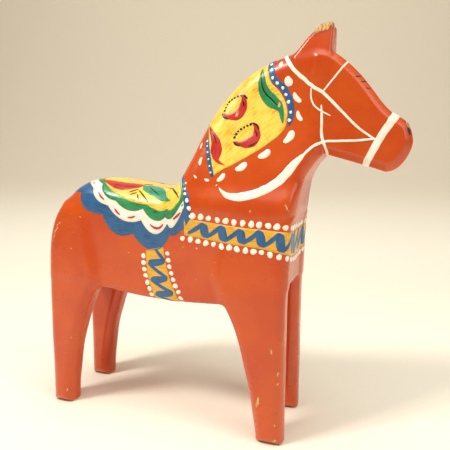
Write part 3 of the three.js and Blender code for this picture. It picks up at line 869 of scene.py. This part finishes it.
BLACK_PULLS = (
    [(-80, -24.2, 0.3), (-72.7, -24.6, 0.6), (-66, -23.6, 0.6), (-61.8, -21.2, 0.3)],
    [(-52.6, -17.8, 0.3), (-45, -24, 0.55), (-36.6, -29.8, 0.3)],
    [(-63.2, -30.6, 0.3), (-60.6, -28.2, 0.6), (-57.4, -25.4, 0.3)],
    [(-61.6, -32.6, 0.3), (-59.4, -31, 0.55), (-56.6, -29.4, 0.3)],
    [(-55.6, -30.8, 0.3), (-54.4, -33.6, 0.55), (-52.8, -36, 0.3)],
    [(-56.6, -26.4, 0.3), (-50.6, -31.2, 0.6), (-44.6, -36.4, 0.3)],
    [(-59, -13.2, 0.3), (-56, -11.2, 0.5), (-52.4, -10.4, 0.3)],
    [(-36, -15, 0.3), (-30.4, -20, 0.6), (-25.6, -28, 0.65), (-20.6, -39.4, 0.6), (-17.6, -47.6, 0.3)],
)
RED_DASHES = (
    [(-99.6, -24, 0.5), (-97.6, -26.6, 0.7)], [(-89.6, -34.6, 0.5), (-86.8, -38, 0.85), (-83, -40.6, 0.5)],
    [(-73.4, -45.4, 0.5), (-71.4, -48, 0.9), (-68.4, -49.8, 0.5)],
    [(-62, -50.8, 0.4), (-58.6, -50.2, 0.7), (-55, -48.6, 0.4)],
    [(-42.6, -53, 0.5), (-38.4, -55.2, 0.95), (-34.4, -55, 0.95), (-30.8, -52.6, 0.5)],
    [(-22.6, -56, 0.5), (-19, -59, 0.9), (-15.6, -61.6, 0.5)],
)
NECK_FOOT_DOTS = ((-13.2, -43.6, 0.9), (-13.4, -47.6, 1.0), (-13, -52, 1.25), (-10.9, -60.5, 1.6),
                  (-9, -69.5, 1.75), (-7.6, -77.6, 1.75))
petals, leaves, blacks, dashes, dots = [], [], [], [], []
for hand in (RIGHT, LEFT):
    petals.append(stroke(for_hand(PETAL, hand), on_body, 0.44, 0.22))
    leaves.append(stroke(for_hand(SADDLE_LEAF, hand), on_body, 0.46, 0.22))
    blacks += [stroke(for_hand(pull, hand), on_body, 0.62, 0.12, 0.8) for pull in BLACK_PULLS]
    dashes += [stroke(for_hand(pull, hand), on_body, 0.3, 0.2, 0.8) for pull in RED_DASHES]
    dots += [blob(for_hand([(u, v)], hand)[0], on_body, size, 0.2, 0.4) for u, v, size in NECK_FOOT_DOTS]
paint("saddle_red_petals_and_dashes", petals + dashes, RED)
TEAL = brush_enamel("teal_green_enamel", linear(74, 164, 128), linear(30, 120, 84), 0.7)
paint("saddle_green_leaves", leaves, TEAL)
paint("saddle_black_veins", blacks, BLACK)
paint("saddle_white_dots", dots, WHITE)

# ---------------------------------------------------------------------------------
# Breast band and girth. An ochre-yellow strap painted round the chest from one side
# of the saddle cloth to the other, and one that drops from the cloth and goes under
# the belly. Both carry a blue zigzag and a row of white dots along each edge.
# ---------------------------------------------------------------------------------
CHEST_LOW, GIRTH_START = 130, -60
around_chest = Wrap((20, 0, CHEST_LOW), (0, 0, 1), (1, 0, 0), 50, 125)
BAND_END, ZIG_PITCH, DOT_PITCH = 111.0, 14.3, 6.1
OCHRE = brush_enamel("ochre_yellow_enamel", linear(240, 182, 52), linear(214, 148, 34), 0.72, along=14)


def round_chest(points):
    """Places given as distance round from the breast bone, and height."""
    points = np.array(points, float)
    return around_chest(np.stack([points[:, 1] - CHEST_LOW, points[:, 0]], 1))


def band_edge(round_by, upper):
    """The band rises a little on its way back to the cloth."""
    away = np.abs(round_by)
    if upper:
        return 156.5 + 3.0 * ramp(away, 4, 60) + 7.2 * ramp(away, 48, 140)
    return 137.5 + 9.2 * ramp(away, 4, 62) + 7.4 * ramp(away, 56, 136)


def strap_zigzag(turns, find, thin, thick, bow):
    """One long zigzag: a thin pull up and a thick pull down at each turn."""
    pulls = []
    for i, (a, b) in enumerate(zip(turns, turns[1:])):
        a, b = np.array(a, float), np.array(b, float)
        size = thick if i % 2 else thin
        pull = [(*a, size[0]), (*((a + b) / 2 + bow(b - a)), size[1]), (*b, size[2])]
        pulls.append(stroke(pull, find, 0.2 + 0.02 * (i % 2), 0.14))
    return pulls


def band_bow(run):
    """How far the middle of a pull bows out to one side."""
    return run[::-1] * (0.03, -0.03)


reach = np.arange(-BAND_END, BAND_END + 0.1, 1.5)
top_edge = np.stack([reach, band_edge(reach, True)], 1)
low_edge = np.stack([reach, band_edge(reach, False)], 1)[::-1]
band_field = field(np.vstack([top_edge, low_edge]), round_chest, 0.1)
paint("breast_band_yellow", [band_field], OCHRE)
turns = []
for start in np.arange(-BAND_END + 3, BAND_END - 6, ZIG_PITCH):
    turns.append((start, band_edge(start, False) + 1.6 + BRUSH.uniform(-0.5, 0.5)))
    peak = start + ZIG_PITCH - 1.7
    turns.append((peak, band_edge(peak, True) - 0.8 + BRUSH.uniform(-0.5, 0.5)))
pulls = strap_zigzag(turns, round_chest, (1.2, 1.7, 1.5), (2.4, 3.4, 3.1), band_bow)
paint("breast_band_blue_zigzag", pulls, BLUE)
dots = []
for upper, shift in ((True, 3.0), (False, -2.6)):
    for spot in np.arange(-BAND_END + 8 * upper - 1, BAND_END - 8 * upper + 2, DOT_PITCH + 0.2 * upper):
        off, raise_by = BRUSH.uniform(-0.4, 0.4), BRUSH.uniform(-0.3, 0.3)
        place = (spot + off, band_edge(spot, upper) + shift + raise_by)
        dots.append(blob(place, round_chest, BRUSH.uniform(2.05, 2.5) - 0.15 * (not upper), 0.08, 0.4))
paint("breast_band_white_dots", dots, WHITE)

around_belly = Wrap((GIRTH_START, 0, 140), (1, 0, 0), (0, 0, -1), 60, 100)


def under_belly(points):
    """Places along the horse, and round it from the middle of the belly."""
    points = np.array(points, float)
    return around_belly(np.stack([points[:, 0] - GIRTH_START, points[:, 1]], 1))


GIRTH_BACK = [(-46.6, -70.5), (-46.4, -58), (-44.6, -46.5), (-40.2, -34.5), (-37, -22), (-35.5, -8),
              (-35.2, 0)]
GIRTH_FRONT = [(-31.6, -74.5), (-29.6, -62), (-26.6, -50), (-21.4, -38), (-17.8, -24), (-16.4, -8),
               (-16.2, 0)]
girth_back, girth_front = spread_along(GIRTH_BACK, 1.5), spread_along(GIRTH_FRONT, 1.5)
girth_edge = np.vstack([girth_back, (girth_back * (1, -1))[-2::-1],
                        girth_front * (1, -1), girth_front[-2::-1]])
paint("girth_yellow", [field(girth_edge, under_belly, 0.1)], OCHRE)
GIRTH_ZIG = ((-38.5, -72.4), (-30.4, -64), (-45, -60.6), (-28.4, -50.6), (-43.2, -47.6), (-23.8, -39.4),
             (-39.4, -36.6), (-18.8, -29), (-36.6, -24), (-17, -14), (-35, -9), (-16.8, 0))
blues, dots = [], []
for hand in (RIGHT, LEFT):
    blues += strap_zigzag(for_hand(GIRTH_ZIG, hand), under_belly, (1.0, 1.4, 1.1), (2.0, 2.8, 2.3),
                          lambda run: (0, -0.6 * hand))
    for line, out in ((GIRTH_BACK, -2.2), (GIRTH_FRONT, 2.4)):
        row = spread_along(for_hand(line, hand), 5.0)[1:-1]
        for u, v in row + BRUSH.uniform(-0.25, 0.25, row.shape):
            dots.append(blob((u + out, v), under_belly, BRUSH.uniform(1.7, 2.1), 0.08, 0.36))
paint("girth_blue_zigzag", blues, BLUE)
paint("girth_white_dots", dots, WHITE)

# ---------------------------------------------------------------------------------
# Bridle and reins. Lines of cream-white enamel pulled with a thin liner brush: cheek
# straps over the poll, a browband, a throat lash, a broad noseband right round the
# muzzle, and a rein on each side that swells into a wide sweep over the neck.
# ---------------------------------------------------------------------------------
def on_both(run):
    """A strap's run up the right side and over the middle, given to the left as well."""
    run = np.array(run, float)
    return np.vstack([run, (run * (1, -1, 1, 1))[-2::-1]])


CHEEK_STRAP = on_both([(117, -16, 221, 0.7), (106, -16, 229, 0.8), (95, -17, 240, 0.95),
                       (82, -18, 253, 1.1), (76, -18, 256.5, 1.2), (69, -18, 262.5, 1.3),
                       (63, -17, 268, 1.35), (57.6, -13, 275, 1.4), (54.5, -6, 280, 1.4),
                       (54, 0, 281, 1.4)])
BROWBAND = on_both([(82, -18, 253, 0.5), (86.5, -17, 258.5, 0.6), (91, -17, 264, 0.65),
                    (95, -15, 269, 0.7), (97.5, -8, 273, 0.7), (98, 0, 273.5, 0.7)])
NOSEBAND = on_both([(111.5, 0, 203.6, 2.2), (111.5, -8, 203.6, 2.2), (112.4, -14, 206, 2.3),
                    (115.6, -16, 212.5, 2.5), (119, -16, 219.5, 2.5), (123.2, -16, 226.5, 2.5),
                    (127, -14, 232.6, 2.7), (129.4, -9, 236.6, 3.0), (130, 0, 237, 3.0)])
THROAT_LASH = on_both([(81.4, -18, 245, 0.5), (82, -18, 236, 0.9), (82.2, -18, 226, 0.95),
                       (83.6, -18, 219, 1.0), (85.4, -14, 212.4, 1.1), (85.6, 0, 210, 1.0)])
FORELOCK_LINE = [(74.4, 257, 0.5), (74.2, 250, 0.6), (76.6, 244.4, 0.6), (81.4, 240.6, 0.55),
                 (88, 237, 0.35)]
REIN_LINE = [(118, 221.4, 0.6), (105, 220.4, 0.8), (92, 220.2, 0.8), (84.5, 220, 0.85),
             (78.6, 217.8, 0.95), (74, 214.2, 0.95), (70.6, 210.6, 0.8)]
REIN_SWEEP = [(72, 212, 0.6), (68.6, 208.6, 1.8), (64.6, 204.2, 2.7), (60, 198, 3.0), (54, 191.8, 3.1),
              (45.6, 186.6, 3.3), (36, 183, 3.3), (27, 181.6, 3.0), (19.6, 182.4, 2.2), (14.8, 185.4, 1.0),
              (12.4, 188, 0.3)]
straps = [stroke(run, over_skin, 0.1, 0.22) for run in (CHEEK_STRAP, BROWBAND, THROAT_LASH)]
straps.append(stroke(NOSEBAND, over_skin, 0.12, 0.26))
for hand in (RIGHT, LEFT):
    straps += [stroke(run, on_side(hand), base, 0.24)
               for run, base in ((FORELOCK_LINE, 0.1), (REIN_LINE, 0.16), (REIN_SWEEP, 0.12))]
paint("bridle_and_reins_white", straps, WHITE)

# ---------------------------------------------------------------------------------
# Knocks and chips. Where the horse has been dropped or rubbed the enamel has flaked
# off in small patches and scratches, and dry pine shows. On the brow and the nose are
# a few short marks of dark enamel.
# ---------------------------------------------------------------------------------
BARE_PINE = dry_pine("bare_pine", 0.75, 0.8, 9, 0.65, (170, 108, 58), (240, 196, 134), (0.36, 0.6), 0.12)
# Along, up, half length, half width and lean in degrees, on each side.
RIGHT_CHIPS = ((44.3, 33, 4.3, 1.3, 78), (54, 73, 1.9, 0.9, 100), (59, 56, 1.8, 0.8, 80),
               (58.6, 49, 1.3, 0.7, 60), (57.4, 17, 1.2, 0.8, 100), (-127, 155.5, 3.4, 0.5, 35),
               (-129.6, 150.6, 4.2, 0.6, 48), (-131, 146, 2.8, 0.45, 55), (-133, 141.6, 1.2, 0.7, 60),
               (-5, 119.6, 1.0, 0.7, 0), (10, 145, 0.8, 0.6, 20), (10.4, 133.4, 0.7, 0.5, 0),
               (-4, 143, 1.0, 0.8, 0), (-15, 143.4, 0.9, 0.7, 0), (62.5, 175, 3.0, 0.6, 118),
               (37, 172, 1.0, 0.5, 80), (-105, 162.6, 0.9, 0.7, 0), (-114, 136.4, 0.7, 0.6, 0),
               (-62, 136, 0.7, 0.5, 0), (8, 124, 0.6, 0.4, 0), (-118, 60, 0.9, 0.5, 70),
               (-126, 12, 1.4, 0.8, 80), (57, 5, 1.6, 1.0, 20))
LEFT_CHIPS = ((50, 24, 2.2, 1.0, 95), (-128, 90, 2.2, 0.8, 70), (58.6, 60, 1.8, 0.8, 85),
              (-40, 120, 1.0, 0.7, 0), (-120, 40, 1.3, 0.6, 70), (15, 128, 0.9, 0.6, 0),
              (104, 224, 1.2, 0.5, 30))
chips = []
for hand, marks in ((RIGHT, RIGHT_CHIPS), (LEFT, LEFT_CHIPS)):
    for along, up, half_length, half_width, lean in marks:
        reach = leaning(half_length, lean)
        bend = BRUSH.uniform(-0.5, 0.5, 2) * half_width
        pull = [(along - reach[0], up - reach[1], half_width * BRUSH.uniform(0.4, 0.9)),
                (along + bend[0], up + bend[1], half_width),
                (along + reach[0], up + reach[1], half_width * BRUSH.uniform(0.3, 0.8))]
        chips.append(stroke(pull, on_side(hand), 0.03, 0.03, 0.6))
moon_chip = [(70.2, -30.4, 0.8), (72.4, -29.6, 1.1), (74.6, -28.4, 0.6)]
leaf_chip = [(95.4, -45.6, 0.9), (97.2, -44.6, 1.0), (98.6, -42.8, 0.4)]
border_chip = [(104.6, -20.6, 0.6), (103.2, -19.2, 0.7), (101.6, -18.4, 0.3)]
for chip in (moon_chip, leaf_chip, border_chip):
    chips.append(stroke(for_hand(chip, RIGHT), around_neck, 0.5, 0.04, 0.5))
paint("knocks_to_bare_pine", chips, BARE_PINE)
DARK_MARKS = ([(102.6, -14, 262.6, 0.3), (104.4, -14, 262.8, 0.6), (106.4, -11, 263, 0.3)],
              [(107, -14, 259.6, 0.3), (108.4, -13.4, 259.4, 0.5), (109.6, -10, 259.4, 0.3)],
              [(110.2, -14, 255.4, 0.3), (111.4, -13, 254.8, 0.55), (112.4, -11, 254, 0.2)],
              [(137.4, -11, 228.8, 0.7), (138.4, -11, 226.4, 1.5), (138.8, -10.6, 223.4, 0.5)])
marks = [stroke(mark, over_skin, 0.04, 0.05, 0.6) for mark in DARK_MARKS]
paint("worn_dark_marks", marks, BLACK)

# ---------------------------------------------------------------------------------
# Studio. A pale paper sweep: flat under the horse and curving up into a wall well
# behind it. A small window lamp on the left throws the shadow, a broad one overhead
# and a weak one on the right fill it, and the room round them is warm.
# ---------------------------------------------------------------------------------
SWEEP_START, SWEEP_RADIUS, SWEEP_TOP = 0.42, 0.75, 3.0


def paper_sweep():
    """The sheet: flat under the horse, then a quarter round, then straight up."""
    mesh = bpy.data.meshes.new("paper_sweep")
    curve = [(SWEEP_START + SWEEP_RADIUS * math.sin(a), SWEEP_RADIUS * (1 - math.cos(a)))
             for a in np.linspace(0, math.pi / 2, 25)]
    profile = [(-1.6, 0)] + curve + [(SWEEP_START + SWEEP_RADIUS, SWEEP_TOP)]
    widths = np.linspace(-3.2, 3.2, 9)
    points = [(w, y, z) for y, z in profile for w in widths]
    row = len(widths)
    faces = [(i * row + k, i * row + k + 1, (i + 1) * row + k + 1, (i + 1) * row + k)
             for i in range(len(profile) - 1) for k in range(row - 1)]
    mesh.from_pydata(points, [], faces)
    mesh.shade_smooth()
    return mesh


def sweep_paper():
    """Cream paper with a faint fibre, darker up the wall as painted shade."""
    finish, tree, shader = new_finish("pale_paper", 0.85, 0.0)
    fibre = blotches(tree, 6, 4)
    split = tree.nodes.new("ShaderNodeSeparateXYZ")
    tree.links.new(tree.nodes.new("ShaderNodeTexCoord").outputs["Object"], split.inputs[0])
    # Painted shade: the paper's colour darkens from the floor up the wall, standing in for less light
    # reaching it.
    up = banded(tree, split.outputs["Z"], 0.0, 0.17)
    colour = mixed(tree, "RGBA", linear(254, 252, 238), linear(219, 209, 191), up)
    colour = mixed(tree, "RGBA", colour, linear(232, 224, 208), worked(tree, "MULTIPLY", fibre, 0.15))
    tree.links.new(colour, shader.inputs["Base Color"])
    raised(tree, shader, fibre, 0.05)
    return finish


sweep = placed("paper_sweep", paper_sweep())
sweep.data.materials.append(sweep_paper())
sweep.rotation_euler = (0, 0, math.radians(12))


def add_lamp(name, place, target, size, watts, colour):
    """A rectangle of light, turned to face its target."""
    lamp = bpy.data.lights.new(name, "AREA")
    lamp.shape = "RECTANGLE"
    lamp.size, lamp.size_y = size
    lamp.energy = watts
    lamp.color = colour
    holder = placed(name, lamp)
    holder.location = place
    holder.rotation_mode = "QUATERNION"
    holder.rotation_quaternion = (Vector(target) - Vector(place)).to_track_quat("-Z", "Y")


add_lamp("window", (-0.62, -0.64, 1.22), (0, 0, 0.1), (0.28, 0.28), 12.5, (1.0, 0.94, 0.86))
add_lamp("ceiling", (0.2, -0.3, 1.9), (0, 0.1, 0), (1.6, 1.6), 22, (1.0, 0.96, 0.88))
add_lamp("doorway", (1.0, -0.25, 0.8), (0.05, 0, 0.18), (0.5, 0.9), 3.6, (1.0, 0.95, 0.88))
room = bpy.data.worlds.new("room")
room.use_nodes = True
room.node_tree.nodes["Background"].inputs["Color"].default_value = (1.0, 0.94, 0.86, 1)
room.node_tree.nodes["Background"].inputs["Strength"].default_value = 0.2
bpy.context.scene.world = room
bpy.context.scene.view_settings.view_transform = "Standard"

lens = bpy.data.cameras.new("camera")
lens.lens = 36.8
lens.sensor_width = 36
camera = placed("camera", lens)
camera.location = (0.1297, -0.3410, 0.2055)
turn, tilt = math.radians(20), math.radians(7.7)
camera.rotation_euler = (math.pi / 2 - tilt, 0, turn)
bpy.context.scene.camera = camera
